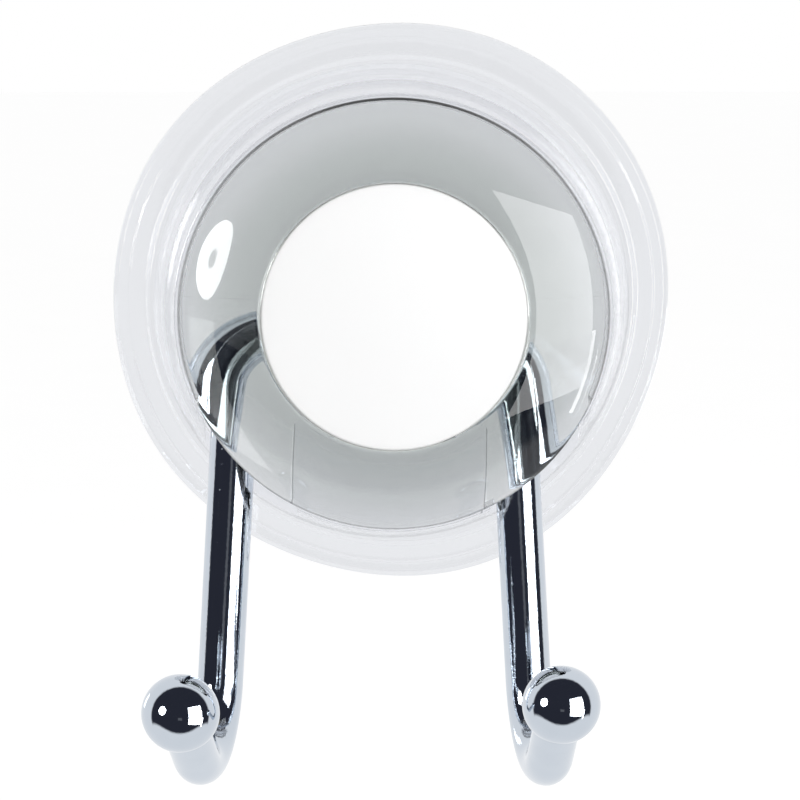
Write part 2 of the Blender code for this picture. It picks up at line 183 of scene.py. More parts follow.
def rounded(corners, steps=8):
    """The points of an outline whose corners are (x, y) or, where they are rounded, (x, y, radius)."""
    points = []
    for i, (x, y, *radius) in enumerate(corners):
        corner = Vector((x, y))
        if not radius:
            points.append(corner)
            continue
        last = Vector(corners[i - 1][:2]) - corner
        following = Vector(corners[(i + 1) % len(corners)][:2]) - corner
        half = last.angle(following) / 2
        # Two roundings on one short side take less than half of it each
        reach = min(radius[0] / math.tan(half), last.length / 2.05, following.length / 2.05)
        middle = corner + (last.normalized() + following.normalized()).normalized() * reach / math.cos(half)
        start, end = (corner + side.normalized() * reach for side in (last, following))
        points += arc(middle, start, end, steps)
    return points


def cleaned(mesh, merge=True):
    """The mesh with its doubles merged and its faces pointing outwards."""
    solid = bmesh.new()
    solid.from_mesh(mesh)
    if merge:
        bmesh.ops.remove_doubles(solid, verts=solid.verts, dist=MERGE * MM)
    bmesh.ops.recalc_face_normals(solid, faces=solid.faces)
    solid.to_mesh(mesh)
    solid.free()
    return mesh


def turned(name, section, steps=256, closed=False):
    """A mesh turned about the cup's axis from a section of (radius, depth) points."""
    vertices, rings, faces = [], [], []
    angles = [2 * math.pi * k / steps for k in range(steps)]
    for radius, depth in section:
        first = len(vertices)
        if radius < 1e-6:
            vertices.append((0, -depth * MM, 0))
            rings.append([first] * steps)
        else:
            vertices += [(radius * math.cos(a) * MM, -depth * MM, radius * math.sin(a) * MM) for a in angles]
            rings.append(range(first, first + steps))
    pairs = list(zip(rings, rings[1:] + rings[:1]))
    for ring, following in pairs if closed else pairs[:-1]:
        for k in range(steps):
            beside = (k + 1) % steps
            corners = list(dict.fromkeys([ring[k], ring[beside], following[beside], following[k]]))
            if len(corners) > 2:
                faces.append(corners)
    mesh = bpy.data.meshes.new(name)
    mesh.from_pydata(vertices, [], faces)
    return cleaned(mesh, merge=False)


def new_object(name, data):
    """An object in the scene."""
    made = bpy.data.objects.new(name, data)
    bpy.context.scene.collection.objects.link(made)
    return made


def add_piece(name, mesh, finish):
    """A piece with its finish, shaded smooth except where its faces meet at a sharp edge."""
    mesh.materials.clear()
    mesh.materials.append(finish)
    mesh.shade_smooth()
    mesh.set_sharp_from_angle(angle=SHARP)
    return new_object(name, mesh)


CUP_RADIUS, CUP_FLOOR, CUP_BODY = 37.0, 2.7, 3.2
HEAD_ROOM_RADIUS, HEAD_ROOM_FRONT = 6.8, 4.7
STUD_HOLE = 3.3
BOSS_RADIUS, BOSS_FOOT_RADIUS, BOSS_FRONT = 10.2, 11.5, 5.7
HOLLOW_RADIUS, HOLLOW_DEPTH = 33.4, 1.6
# How the cup's edge departs from a circle: (waves round the edge, height, degrees of the first crest)
EDGE_WAVES = ((1, 0.10, 29.3), (2, 0.11, 88.3), (3, 0.35, 134.7), (4, 0.18, 132.9), (5, 0.14, 14.8))
WAVES_START = 28

cup_mesh = turned("suction_cup", rounded([
    (0, CUP_FLOOR),
    (HEAD_ROOM_RADIUS, CUP_FLOOR, 0.15),
    (HEAD_ROOM_RADIUS, HEAD_ROOM_FRONT, 0.15),
    (STUD_HOLE, HEAD_ROOM_FRONT),
    (STUD_HOLE, BOSS_FRONT),
    (BOSS_RADIUS, BOSS_FRONT, 0.7),
    (BOSS_FOOT_RADIUS, CUP_BODY, 0.7),
    # From here on, the body steps down to the thin lip
    (32.2, CUP_BODY, 0.4),
    (32.7, 2.3, 0.4),
    (34.8, 2.2, 0.2),
    (35.1, 2.0, 0.2),
    (36.3, 1.95, 0.3),
    (CUP_RADIUS, 1.3, 0.6),
    (CUP_RADIUS, 0.0, 0.25),
    *reversed(bow(HOLLOW_RADIUS, 0, HOLLOW_DEPTH)),
]))
for vertex in cup_mesh.vertices:
    x, y, z = vertex.co
    radius = math.hypot(x, z) / MM
    angle = math.atan2(z, x)
    share = min(max((radius - WAVES_START) / (CUP_RADIUS - WAVES_START), 0), 1)
    wave = sum(height * math.cos(count * angle - math.radians(crest)) for count, height, crest in EDGE_WAVES)
    scale = 1 + wave * share / max(radius, 1)
    vertex.co = (x * scale, y, z * scale)

vinyl, place = new_finish("clear_vinyl")
skin = place.noise(5.0, 3.0) * 0.8 + place.noise(0.9) * 0.2
surface(place, {
    "Base Color": (0.852, 0.864, 0.888, 1.0),
    "Roughness": place.noise(3.0).ramp(0.3, 0.8) * 0.05 + 0.02,
    "IOR": 1.52,
    "Transmission Weight": 1.0,
    "Normal": place.bump(skin, 0.02),
}, absorption=((0.60, 0.64, 0.75), 15.0))
cup = add_piece("suction_cup_vinyl", cup_mesh, vinyl)
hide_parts("suction_cup")
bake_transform(cup)


# Stud and its spring clip: zinc-plated steel. The stud's head is moulded into the cup and its shank is
# threaded for the dome. The clip, in a groove at the stud's end, keeps the dome from coming off.
STUD_RADIUS, STUD_END = 3.0, 25.2
HEAD_RADIUS, HEAD_BACK, HEAD_FRONT = 6.5, 3.0, 4.4
GROOVE_RADIUS, GROOVE_BACK, GROOVE_FRONT = 2.4, STUD_END - 1.6, STUD_END - 0.4
CORE_RADIUS, CORE_BACK, CORE_FRONT = 2.62, 13.3, STUD_END - 2.3
THREAD_PITCH, THREAD_LENGTH, THREAD_BACK = 1.0, 9.4, 13.4
RIDGE_RADIUS = 0.34           # in pitches

zinc, place = new_finish("zinc_plated_steel")
streaks = place.noise(0.6, 4.0)
surface(place, {
    "Base Color": streaks.between((0.52, 0.54, 0.56), (0.68, 0.70, 0.72)),
    "Metallic": 1.0,
    "Roughness": streaks * 0.20 + 0.22,
    "Normal": place.bump(place.noise(0.25), 0.01),
})

stud_mesh = turned("anchor_stud", rounded([
    (0, STUD_END),
    (2.7, STUD_END, 0.1),
    (STUD_RADIUS, STUD_END - 0.3, 0.1),
    (STUD_RADIUS, GROOVE_FRONT),
    (GROOVE_RADIUS, GROOVE_FRONT),
    (GROOVE_RADIUS, GROOVE_BACK),
    (STUD_RADIUS, GROOVE_BACK, 0.1),
    (STUD_RADIUS, GROOVE_BACK - 0.3, 0.1),
    (CORE_RADIUS, CORE_FRONT),
    (CORE_RADIUS, CORE_BACK),
    (STUD_RADIUS, CORE_BACK - 0.4, 0.1),
    (STUD_RADIUS, HEAD_FRONT),
    (HEAD_RADIUS, HEAD_FRONT, 0.2),
    (HEAD_RADIUS, HEAD_BACK, 0.2),
    (0, HEAD_BACK),
], 4), 96)


def new_shape(name, sizes):
    """A Geometry Nodes tree with an input for each size: its inputs as Sockets, and their identifiers."""
    tree = bpy.data.node_groups.new(name, "GeometryNodeTree")
    tree.interface.new_socket("Geometry", in_out="INPUT", socket_type="NodeSocketGeometry")
    identifiers = {size: tree.interface.new_socket(size, in_out="INPUT", socket_type=kind).identifier
                   for size, kind in sizes.items()}
    tree.interface.new_socket("Geometry", in_out="OUTPUT", socket_type="NodeSocketGeometry")
    group = tree.nodes.new("NodeGroupInput")
    return {output.name: Socket(tree, output) for output in group.outputs if output.name}, identifiers


def end_shape(geometry, finish):
    """Realizes what a tree has made, gives it its material and sends it out."""
    real = geometry.node("GeometryNodeRealizeInstances", {}, {"Geometry": geometry})
    painted = real.node("GeometryNodeSetMaterial", {}, {"Geometry": real, "Material": finish})
    painted.node("NodeGroupOutput", {}, {"Geometry": painted})


def plain_mesh(carrier, *others):
    """What an object looks like with its modifiers, as a mesh. The object and the others are removed."""
    bpy.context.view_layer.update()
    evaluated = carrier.evaluated_get(bpy.context.evaluated_depsgraph_get())
    mesh = bpy.data.meshes.new_from_object(evaluated)
    for used in (carrier, *others):
        bpy.data.objects.remove(used)
    return mesh


def shaped(name, mesh, tree, identifiers, sizes):
    """The plain mesh that a Geometry Nodes tree makes of a mesh with these sizes."""
    carrier = new_object(name, mesh)
    modifier = carrier.modifiers.new(name, "NODES")
    modifier.node_group = tree
    for size, value in sizes.items():
        modifier[identifiers[size]] = value
    return plain_mesh(carrier)


def finish_node(name, finish):
    """Gives one of the CAD's own pieces a finish."""
    materials = frame["nodes"][name].data.materials
    materials.clear()
    materials.append(finish)


# The thread is a ridge that winds round the shank, joined to the turned stud
inputs, thread_sizes = new_shape(
    "stud_thread", dict.fromkeys(("Radius", "Length", "Pitch", "Start"), "NodeSocketFloat"))
core = inputs["Geometry"]
winding = core.node("GeometryNodeCurveSpiral", {}, {
    "Resolution": 48, "Rotations": inputs["Length"] / inputs["Pitch"], "Start Radius": inputs["Radius"],
    "End Radius": inputs["Radius"], "Height": inputs["Length"]})
ridge = core.node("GeometryNodeCurvePrimitiveCircle", {}, {
    "Resolution": 8, "Radius": inputs["Pitch"] * RIDGE_RADIUS})
wound = core.node("GeometryNodeCurveToMesh", {}, {
    "Curve": winding, "Profile Curve": ridge, "Fill Caps": True})
shift = core.node("ShaderNodeCombineXYZ", {}, {"Y": 0 - inputs["Start"]})
wound = core.node("GeometryNodeTransform", {}, {
    "Geometry": wound, "Translation": shift, "Rotation": (math.pi / 2, 0, 0)})
joined = core.node("GeometryNodeJoinGeometry", {}, {"Geometry": core})
core.tree.links.new(wound.socket, joined.socket.node.inputs["Geometry"])
end_shape(joined, zinc)
stud_mesh = shaped("anchor_stud", stud_mesh, core.tree, thread_sizes, {
    "Radius": (STUD_RADIUS - THREAD_PITCH * RIDGE_RADIUS) * MM, "Length": THREAD_LENGTH * MM,
    "Pitch": THREAD_PITCH * MM, "Start": THREAD_BACK * MM})
stud = add_piece("anchor_stud_turned", stud_mesh, zinc)
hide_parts("anchor_stud")
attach(stud, "stud")

finish_node("stud_clip", zinc)


# Bracket holder: clear rigid plastic, a flared ring whose foot presses on the cup. A web carries the
# plate's seat. Two channels let the rods out, and the tongue between them closes the ring at the bottom.
FOOT_RADIUS, FOOT_DEPTH = 31.6, 3.5
TOP_RADIUS, TOP_DEPTH = 28.4, 21.5
WALL = 1.9
WEB_BACK, WEB_FRONT = 7.9, 9.9
SEAT_RADIUS, SEAT_FRONT = 7.06, 11.4
CHANNEL_INNER, CHANNEL_OUTER, CHANNEL_TOP, CHANNEL_BACK = 12.55, 24.55, 0.8, 9.7
TONGUE_HALF, TONGUE_INNER, TONGUE_CORNER = 12.15, 17.9, 1.2
TONGUE_FRONT, TONGUE_BACK = TOP_DEPTH - 0.3, TOP_DEPTH - 2.1
TONGUE_TURN = math.radians(1.6)
CLEAR_BELOW, CLEAR_FRONT = -40, TOP_DEPTH + 1      # past the holder, for the pieces that cut it


def flat(name, outlines, back, front):
    """A flat mesh between two depths. Outlines are in X and height: the first its edge, the others holes."""
    curve = bpy.data.curves.new(name, "CURVE")
    curve.dimensions = "2D"
    curve.fill_mode = "BOTH"
    curve.extrude = (front - back) / 2 * MM
    for outline in outlines:
        spline = curve.splines.new("POLY")
        spline.points.add(len(outline) - 1)
        for point, (x, y) in zip(spline.points, outline):
            point.co = (x * MM, y * MM, 0, 1)
        spline.use_cyclic_u = True
    mesh = plain_mesh(new_object(name, curve))
    upright = Matrix.Rotation(math.pi / 2, 4, "X")
    mesh.transform(Matrix.Translation((0, -(front + back) / 2 * MM, 0)) @ upright)
    return cleaned(mesh)


def combined(name, mesh, steps):
    """The mesh after Booleans with others, given as (operation, mesh)."""
    carrier = new_object(name, mesh)
    tools = []
    for operation, other in steps:
        tools.append(new_object(name + "_tool", other))
        modifier = carrier.modifiers.new(operation, "BOOLEAN")
        modifier.operation = operation
        modifier.solver = "EXACT"
        modifier.object = tools[-1]
    return cleaned(plain_mesh(carrier, *tools))


def wall_radius(depth):
    """The outer radius of the flared ring at a depth."""
    return FOOT_RADIUS - (FOOT_RADIUS - TOP_RADIUS) * (depth - FOOT_DEPTH) / (TOP_DEPTH - FOOT_DEPTH)


holder_mesh = turned("bracket_holder", rounded([
    (STUD_HOLE, SEAT_FRONT),
    (SEAT_RADIUS, SEAT_FRONT),
    (SEAT_RADIUS, WEB_FRONT),
    (wall_radius(WEB_FRONT) - WALL, WEB_FRONT, 0.3),
    (wall_radius(TOP_DEPTH) - WALL, TOP_DEPTH, 0.4),
    (wall_radius(TOP_DEPTH), TOP_DEPTH, 0.4),
    (FOOT_RADIUS, FOOT_DEPTH, 0.4),
    (FOOT_RADIUS - WALL, FOOT_DEPTH, 0.4),
    (wall_radius(WEB_BACK) - WALL, WEB_BACK, 0.3),
    (STUD_HOLE, WEB_BACK),
]), closed=True)
channels = []
for side in (-1, 1):
    inner, outer = side * CHANNEL_INNER, side * CHANNEL_OUTER
    outline = rounded([(inner, CHANNEL_TOP, 0.6), (outer, CHANNEL_TOP, 0.6),
                       (outer, CLEAR_BELOW), (inner, CLEAR_BELOW)])
    channels.append(("DIFFERENCE", flat("channel", [outline], CHANNEL_BACK, CLEAR_FRONT)))

# The tongue is a disc of the holder's taper, cut to an outline that stands slightly askew
tongue_mesh = turned("tongue", [
    (0, TONGUE_FRONT),
    (wall_radius(TONGUE_FRONT) - WALL / 2, TONGUE_FRONT),
    (wall_radius(TONGUE_BACK) - WALL / 2, TONGUE_BACK),
    (0, TONGUE_BACK),
])
shoulder = -math.sqrt(TONGUE_INNER ** 2 - TONGUE_HALF ** 2)
inner_edge = arc(Vector((0, 0)), Vector((TONGUE_HALF, shoulder)), Vector((-TONGUE_HALF, shoulder)), 32)
tongue_outline = rounded([
    (-TONGUE_HALF, CLEAR_BELOW), (TONGUE_HALF, CLEAR_BELOW), (TONGUE_HALF, shoulder, TONGUE_CORNER),
    *[tuple(point) for point in inner_edge[3:-3]], (-TONGUE_HALF, shoulder, TONGUE_CORNER)])
askew = [(x * math.cos(TONGUE_TURN) + z * math.sin(TONGUE_TURN),
          z * math.cos(TONGUE_TURN) - x * math.sin(TONGUE_TURN)) for x, z in tongue_outline]
tongue_cut = flat("tongue_outline", [askew], 0, CLEAR_FRONT)
tongue_mesh = combined("tongue", tongue_mesh, [("INTERSECT", tongue_cut)])
holder_mesh = combined("bracket_holder", holder_mesh, [*channels, ("UNION", tongue_mesh)])

# Two thin dark lines are painted on the tongue's sides at the front: painted shade for the dark look of these
# edges
clear_plastic, place = new_finish("clear_plastic")
beside, forward, level = place.parts()
from_middle = beside * math.cos(TONGUE_TURN) - level * math.sin(TONGUE_TURN)
from_side = (from_middle.math("ABSOLUTE") - TONGUE_HALF * MM).math("ABSOLUTE")
# Painted shade: the tongue's side edges are darkened near its front face
painted_edge_shade = ((1 - from_side.ramp(0.06 * MM, 0.16 * MM)) * (0 - level).ramp(13.0 * MM, 13.5 * MM)
         * (0 - forward).ramp((TONGUE_FRONT - 0.35) * MM, (TONGUE_FRONT - 0.25) * MM))
surface(place, {
    "Base Color": painted_edge_shade.between((0.99, 0.99, 1.0), (0.35, 0.35, 0.36)),
    "Roughness": place.noise(2.0).ramp(0.3, 0.8) * 0.05 + 0.08,
    "IOR": 1.18,
    "Transmission Weight": 1.0,
    "Normal": place.bump(place.noise(6.0), 0.02),
}, absorption=((0.70, 0.72, 0.75), 15.0))
holder = add_piece("bracket_holder_clear", holder_mesh, clear_plastic)
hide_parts("bracket_holder")
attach(holder, "bracket")


# Bracket: an eye plate round the stud, two 6 mm steel rods welded to it and bent into hooks, and a ball
# pressed on each rod's end, all chrome plated. The bracket lies a little to the left in its channels.
ROD_RADIUS, ROD_DEPTH, ROD_STEPS = 3.0, 13.2, 64
ROD_SPACING, STEM_LEVEL, STEM_SPLAY = 37.1, -18.0, 3.15
BRACKET_SHIFT = -2.4
CROSSBAR_DROP, CROSSBAR_LENGTH, SHOULDER_BEND = 2.8, 1.8, 6.5
HOOK_BEND, LIP_LENGTH = 9.5, 13.5
SHOULDER_STEPS, HOOK_STEPS = 24, 48
BALL_RADIUS, SOCKET_DEPTH, BALL_STEPS = 5.0, 3.5, 64
PLATE_BACK, PLATE_FRONT, PLATE_HALF_HEIGHT = 11.7, 14.7, 7.1
SLOT_HALF_LENGTH, SLOT_RADIUS = 2.4, 3.3
JOIN_GAP = 0.3                # between pieces that are welded or pressed together
HOOKS = {"left": (-1, -58.4, 32.8, 10.4), "right": (1, -58.6, 37.2, 7.0)}   # side, lowest point, rise, turn


def chrome_plate(name, grain):
    """Bright chrome plating. The grain is how much of its unevenness comes from the metal's own surface."""
    finish, place = new_finish(name)
    waviness = place.noise(3.0) * 0.7 + place.noise(0.4) * 0.2
    surface(place, {
        "Base Color": place.noise(4.0).between((0.55, 0.60, 0.665), (0.60, 0.65, 0.715)),
        "Metallic": 1.0,
        "Roughness": place.noise(0.8, 3.0) * 0.03 + 0.015,
        "Normal": place.bump(waviness + place.noise(0.22) * grain, 0.02),
    })
    return finish


chrome, chrome_wire = chrome_plate("chrome_plate", 0.05), chrome_plate("chrome_wire", 0.45)

splay = math.radians(STEM_SPLAY)
bend_y = -CROSSBAR_DROP - SHOULDER_BEND
stem_top_y = bend_y + SHOULDER_BEND * math.sin(splay)
stem_top_x = ROD_SPACING / 2 + (STEM_LEVEL - stem_top_y) * math.tan(splay)
bend_x = stem_top_x - SHOULDER_BEND * math.cos(splay)
plate_half_width = bend_x - CROSSBAR_LENGTH - JOIN_GAP


def in_frame(point):
    """A point drawn as (X, height, depth), in the frame."""
    return Vector((point.x, -point.z, point.y)) * MM


def hook_path(side, low, rise, turn):
    """A rod's centreline from the plate to its ball, the ball's centre and the direction of the lip."""
    turn = math.radians(turn)
    lip_angle = math.radians(90 + rise)
    down = Vector((math.sin(splay), -math.cos(splay), 0))
    forward = (math.sin(turn) * Vector((math.cos(splay), math.sin(splay), 0))
               + math.cos(turn) * Vector((0, 0, 1)))
    path = [Vector((plate_half_width + JOIN_GAP, -CROSSBAR_DROP, 0))]
    for k in range(SHOULDER_STEPS + 1):
        angle = math.pi / 2 - (math.pi / 2 - splay) * k / SHOULDER_STEPS
        outward = Vector((math.cos(angle), math.sin(angle), 0))
        path.append(Vector((bend_x, bend_y, 0)) + SHOULDER_BEND * outward)
    stem_length = (stem_top_y - low) / math.cos(splay) - HOOK_BEND
    stem_end = Vector((stem_top_x, stem_top_y, 0)) + stem_length * down
    for k in range(HOOK_STEPS + 1):
        angle = lip_angle * k / HOOK_STEPS
        path.append(stem_end + HOOK_BEND * ((1 - math.cos(angle)) * forward + math.sin(angle) * down))
    lip = math.sin(lip_angle) * forward + math.cos(lip_angle) * down
    ball = path[-1] + LIP_LENGTH * lip
    path.append(ball - (BALL_RADIUS - SOCKET_DEPTH) * lip)
    mirrored = Matrix.Diagonal((side, 1, 1))
    placed = Vector((BRACKET_SHIFT, 0, ROD_DEPTH))
    return ([in_frame(placed + mirrored @ point) for point in path],
            in_frame(placed + mirrored @ ball), mirrored @ lip)


inputs, rod_sizes = new_shape("bent_rod", {"Radius": "NodeSocketFloat", "Steps": "NodeSocketInt"})
line = inputs["Geometry"]
centreline = line.node("GeometryNodeMeshToCurve", {}, {"Mesh": line})
round_bar = line.node("GeometryNodeCurvePrimitiveCircle", {}, {
    "Resolution": inputs["Steps"], "Radius": inputs["Radius"]})
tube = line.node("GeometryNodeCurveToMesh", {}, {
    "Curve": centreline, "Profile Curve": round_bar, "Fill Caps": True})
end_shape(tube, chrome_wire)

# A ball's section about its lip, with the socket that takes the rod's end
mouth, socket_floor = ROD_RADIUS + JOIN_GAP, SOCKET_DEPTH - BALL_RADIUS + JOIN_GAP
ball_sweep = math.pi / 2 + math.acos(mouth / BALL_RADIUS)
ball_section = [(0, BALL_RADIUS)]
for k in range(1, BALL_STEPS + 1):
    angle = math.pi / 2 - ball_sweep * k / BALL_STEPS
    ball_section.append((BALL_RADIUS * math.cos(angle), BALL_RADIUS * math.sin(angle)))
ball_section += [(mouth, socket_floor), (0, socket_floor)]

for side_name, hook in HOOKS.items():
    path, ball_place, lip = hook_path(*hook)
    centreline_mesh = bpy.data.meshes.new(side_name + "_centreline")
    centreline_mesh.from_pydata(path, [(k, k + 1) for k in range(len(path) - 1)], [])
    rod_mesh = shaped(side_name + "_rod", centreline_mesh, line.tree, rod_sizes,
                      {"Radius": ROD_RADIUS * MM, "Steps": ROD_STEPS})
    rod = add_piece(side_name + "_hook_rod_plated", rod_mesh, chrome_wire)
    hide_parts(side_name + "_hook_rod")
    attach(rod, "bracket")

    ball_mesh = turned(side_name + "_ball", ball_section, 96)
    along_lip = Vector((0, -1, 0)).rotation_difference(in_frame(lip) / MM).to_matrix().to_4x4()
    ball_mesh.transform(Matrix.Translation(ball_place) @ along_lip)
    ball = add_piece(side_name + "_ball_tip_plated", ball_mesh, chrome)
    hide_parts(side_name + "_ball_tip")
    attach(ball, "bracket")

plate_edge = rounded([(BRACKET_SHIFT + x * plate_half_width, y * PLATE_HALF_HEIGHT, 1.5)
                      for x, y in ((1, 1), (1, -1), (-1, -1), (-1, 1))])
half_turn = [math.pi * k / 32 - math.pi / 2 for k in range(33)]
plate_slot = [(BRACKET_SHIFT + side * (SLOT_HALF_LENGTH + SLOT_RADIUS * math.cos(a)),
               side * SLOT_RADIUS * math.sin(a)) for side in (1, -1) for a in half_turn]
plate_mesh = flat("eye_plate", [plate_edge, plate_slot], PLATE_BACK, PLATE_FRONT)
plate = add_piece("eye_plate_plated", plate_mesh, chrome)
softened = plate.modifiers.new("softened", "BEVEL")
softened.width = 0.25 * MM
softened.segments = 3
softened.limit_method = "ANGLE"
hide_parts("eye_plate")
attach(plate, "bracket")


# Thrust washer: a white nylon ring that lies loose between the bracket and the insert. The dome turns
# on it when it is tightened, so that the hooks don't turn along with it.
nylon, place = new_finish("white_nylon")
surface(place, {
    "Base Color": place.noise(2.0).between((0.78, 0.78, 0.76), (0.84, 0.84, 0.82)),
    "Roughness": place.noise(0.5) * 0.15 + 0.38,
    "Subsurface Weight": 0.1,
    "Subsurface Scale": 1.0 * MM,
    "Normal": place.bump(place.noise(0.3), 0.008),
})
finish_node("thrust_washer", nylon)


# Threaded insert: turned brass, which runs on the stud's thread. It is hexagonal outside and pressed
# into the dome's floor, so that it can't turn there.
brass, place = new_finish("brass")
surface(place, {
    "Base Color": place.noise(1.5).between((0.66, 0.47, 0.20), (0.78, 0.60, 0.30)),
    "Metallic": 1.0,
    "Roughness": place.noise(0.4, 3.0) * 0.2 + 0.2,
    "Normal": place.bump(place.noise(0.3), 0.008),
})
finish_node("threaded_insert", brass)


# Lock dome: a convex ring of smoke-tinted acrylic, moulded in one piece with the floor that holds the
# insert. The user turns it to draw up the stud. Its clear body shows the holder and the rods behind it.
DOME_RADIUS, BORE_RADIUS = 27.95, 17.25
DOME_BACK, FLOOR_FRONT, BORE_MIDDLE = 21.8, 23.6, 25
INSERT_BOSS_RADIUS, INSERT_BOSS_BACK = 6.74, 16.5
INSERT_HOLE_HALF = 4.8        # half the width across the flats
CROWN_CENTRE, CROWN_RADIUS = Vector((14.26, 6.04)), 21.9
RIM_WIDTH, EDGE_ROUNDING, EDGE_SLOPE = 0.45, 3.0, math.radians(62)


def crown(radius):
    """The point of the dome's crown, a part of a circle, at a distance from the axis."""
    return Vector((radius, CROWN_CENTRE.y + math.sqrt(CROWN_RADIUS ** 2 - (radius - CROWN_CENTRE.x) ** 2)))


def corner_arc(before, corner, after, steps):
    """The rounding of a corner that starts on the line from before and ends at after."""
    back, ahead = (before - corner).normalized(), after - corner
    reach = ahead.length
    half = back.angle(ahead) / 2
    middle = corner + (back + ahead.normalized()).normalized() * reach / math.cos(half)
    return arc(middle, corner + back * reach, after, steps)


# The rim: the crown's own slope carried on to the bore, then rounded
SLOPE_STEP = 0.01
rim_end = crown(BORE_RADIUS + RIM_WIDTH)
fall = (crown(BORE_RADIUS + RIM_WIDTH + SLOPE_STEP).y - rim_end.y) / SLOPE_STEP
rim_corner = Vector((BORE_RADIUS, rim_end.y - fall * RIM_WIDTH))
# The outer edge: a rounding that touches the crown from inside and stops at its slope
across = DOME_RADIUS - EDGE_ROUNDING * math.sin(EDGE_SLOPE) - CROWN_CENTRE.x
edge_middle = CROWN_CENTRE + Vector((across, math.sqrt((CROWN_RADIUS - EDGE_ROUNDING) ** 2 - across ** 2)))
edge_start = edge_middle + (edge_middle - CROWN_CENTRE).normalized() * EDGE_ROUNDING
edge_end = edge_middle + Vector((math.sin(EDGE_SLOPE), math.cos(EDGE_SLOPE))) * EDGE_ROUNDING
dome_mesh = turned("lock_dome", [
    (0, FLOOR_FRONT),
    *rounded([(0, FLOOR_FRONT), (BORE_RADIUS, FLOOR_FRONT, 0.3), (BORE_RADIUS, BORE_MIDDLE)], 4)[1:-1],
    *corner_arc(Vector((BORE_RADIUS, BORE_MIDDLE)), rim_corner, rim_end, 16),
    *arc(CROWN_CENTRE, rim_end, edge_start, 48)[1:],
    *arc(edge_middle, edge_start, edge_end, 16)[1:],
    (DOME_RADIUS, DOME_BACK + 0.1),
    (DOME_RADIUS - 0.1, DOME_BACK),
    (INSERT_BOSS_RADIUS, DOME_BACK),
    (INSERT_BOSS_RADIUS, INSERT_BOSS_BACK),
    (0, INSERT_BOSS_BACK),
], 360)
hexagon_radius = INSERT_HOLE_HALF / math.cos(math.pi / 6)
hexagon = [(hexagon_radius * math.cos(math.pi * k / 3), hexagon_radius * math.sin(math.pi * k / 3))
           for k in range(6)]
insert_hole = flat("insert_hole", [hexagon], INSERT_BOSS_BACK - 1.5, FLOOR_FRONT + 2.4)
dome_mesh = combined("lock_dome", dome_mesh, [("DIFFERENCE", insert_hole)])

# The grey-green smoke tint is the acrylic's own, and its darkening towards the bore is painted shade. The
# thin black line at the sharp outer edge is painted shade, strongest at the top.
acrylic, place = new_finish("clear_acrylic")
across, _, level = place.parts()
from_axis = (across * across + level * level).math("SQRT")
upward = level.ramp(5 * MM, DOME_RADIUS * MM)
# Painted shade: a black line round the dome's outer edge, darker at the top
painted_edge_line = ((from_axis + upward * 0.07 * MM).ramp((DOME_RADIUS - 0.28) * MM, (DOME_RADIUS - 0.18) * MM)
             * (upward * 0.4 + 0.6))
# The acrylic's grey-green tint, with painted shade that darkens it towards the bore
tint_and_painted_shade = from_axis.ramp(18 * MM, 31 * MM).between((0.650, 0.676, 0.652), (0.92, 0.93, 0.925))
surface(place, {
    "Base Color": painted_edge_line.between(tint_and_painted_shade, (0.0, 0.0, 0.0)),
    "Roughness": place.noise(4.0).ramp(0.4, 0.8) * 0.006 + 0.003,
    "IOR": 1.49,
    "Transmission Weight": 1.0,
    "Normal": place.bump(place.noise(9.0), 0.006),
}, absorption=((0.40, 0.44, 0.42), 20.0))
dome = add_piece("lock_dome_clear", dome_mesh, acrylic)
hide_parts("lock_dome")
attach(dome, "dome")


# Centre cap: a plain, slightly crowned disc of white plastic, moulded in one piece with its skirt, by
# which it snaps into the dome's bore. The face is white, and the skirt and the underside are painted grey as
# shade.
CAP_RADIUS, CAP_EDGE, CAP_CROWN = 17.2, 27.3, 0.8
SKIRT_INSIDE, SKIRT_BACK, UNDERSIDE = 16.0, 23.9, 26.2

cap_mesh = turned("centre_cap", rounded([
    *bow(CAP_RADIUS, CAP_EDGE, CAP_CROWN)[:-1],
    (CAP_RADIUS, CAP_EDGE, 0.4),
    (CAP_RADIUS, SKIRT_BACK, 0.1),
    (SKIRT_INSIDE, SKIRT_BACK, 0.1),
    *reversed(bow(SKIRT_INSIDE, UNDERSIDE, CAP_CROWN)),
]), 192)

white_plastic, place = new_finish("white_plastic")
_, forward, _ = place.parts()
# Painted shade: everything behind the face, meaning the skirt and the underside, is grey
unshaded_face = ((0 - forward).ramp((CAP_EDGE - 0.4) * MM, (CAP_EDGE - 0.3) * MM)
              * (place.noise(12.0) * 0.04 + 0.96))
surface(place, {
    "Base Color": unshaded_face.between((0.42, 0.43, 0.43), (0.98, 0.98, 0.98)),
    "Roughness": place.noise(0.6) * 0.1 + 0.30,
    "Normal": place.bump(place.noise(0.5, 3.0), 0.006),
})
cap = add_piece("centre_cap_white", cap_mesh, white_plastic)
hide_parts("centre_cap")
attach(cap, "dome")


# The studio: a pale floor, a white sweep behind, a dark room in front, a tall softbox on the right and
# a round lamp on the left. Two strip lamps only draw thin streaks in what shines.
ROOM_DARK, ROOM_WHITE = (0.030, 0.032, 0.045), (1.0, 1.0, 1.0)
AMBIENT = 0.70
CARD_BRIGHTNESS = 0.12
LAMP_DISTANCE = 1.5

world = bpy.data.worlds.new("studio")
bpy.context.scene.world = world
world.use_nodes = True
world.node_tree.nodes.clear()
start = Socket(world.node_tree)
beside, backward, level = start.node("ShaderNodeTexCoord", {}, {}, "Generated").parts()
# The room: a white sweep behind, a pale floor far below and a dim card just under the camera
sweep = backward.ramp(0.0, 0.12)
pale_below = (beside * beside * 0.5 - level).ramp(0.74, 0.84)
card = ((1 - beside.math("ABSOLUTE").ramp(0.06, 0.13))
        * (1 - (level + 0.135).math("ABSOLUTE").ramp(0.05, 0.08)))
room = (sweep.math("MAXIMUM", pale_below).math("MAXIMUM", card * CARD_BRIGHTNESS)
        .between(ROOM_DARK, ROOM_WHITE))
